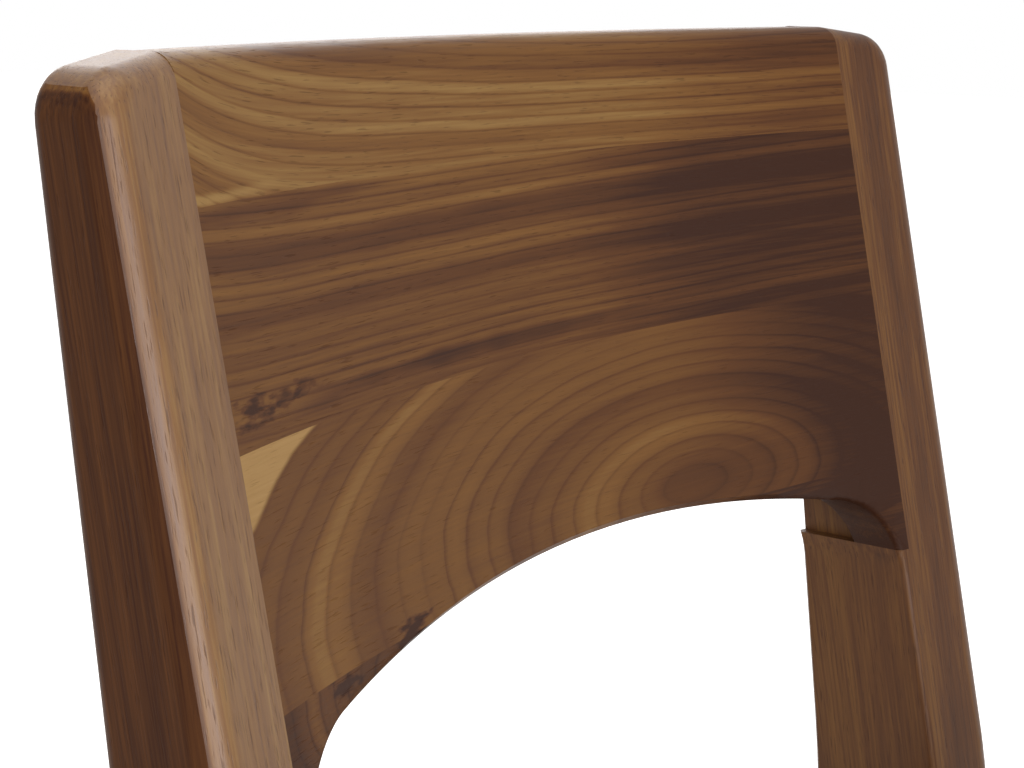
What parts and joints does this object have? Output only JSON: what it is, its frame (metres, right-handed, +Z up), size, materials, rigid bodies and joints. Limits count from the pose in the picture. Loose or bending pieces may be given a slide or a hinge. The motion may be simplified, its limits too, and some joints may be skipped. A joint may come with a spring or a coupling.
{
  "type": "upholstered dining chair",
  "caption": "Wooden dining chair with a scooped back glued up from boards between raked posts over an open arch, and a padded fabric seat on a railed frame.",
  "frame": {"origin": "on the floor under the middle of the chair's outline", "axes": "+Z up, -Y the way the sitter faces, +X to the sitter's left"},
  "size_m": [0.476, 0.5483, 0.8],
  "materials": {
    "walnut": "satin oiled walnut",
    "beech": "bare planed hardwood",
    "plywood": "bare birch plywood",
    "foam": "open-cell seat foam",
    "upholstery": "coarse woven wool",
    "dust_cloth": "black spunbond cloth",
    "steel": "bright zinc plate",
    "glide_plastic": "dark brown nylon"
  },
  "bodies": {
    "root": {"left_rear_leg": "walnut", "right_rear_leg": "walnut", "left_front_leg": "walnut", "right_front_leg": "walnut", "back_stave_top": "walnut", "back_stave_upper": "walnut", "back_stave_lower": "walnut", "back_toe_left": "walnut", "back_toe_right": "walnut", "front_rail": "walnut", "back_rail": "walnut", "left_side_rail": "walnut", "right_side_rail": "walnut", "back_tenons": "beech", "rail_tenons": "beech", "front_left_corner_block": "beech", "front_right_corner_block": "beech", "rear_left_corner_block": "beech", "rear_right_corner_block": "beech", "corner_block_screws": "steel", "glide_nails": "steel", "dust_cover_staples": "steel", "seat_tee_nuts": "steel", "seat_bolts": "steel", "seat_washers": "steel", "leg_glides": "glide_plastic", "seat_board": "plywood", "seat_foam": "foam", "seat_cover": "upholstery", "seat_dust_cover": "dust_cloth"}
  },
  "joints": []
}
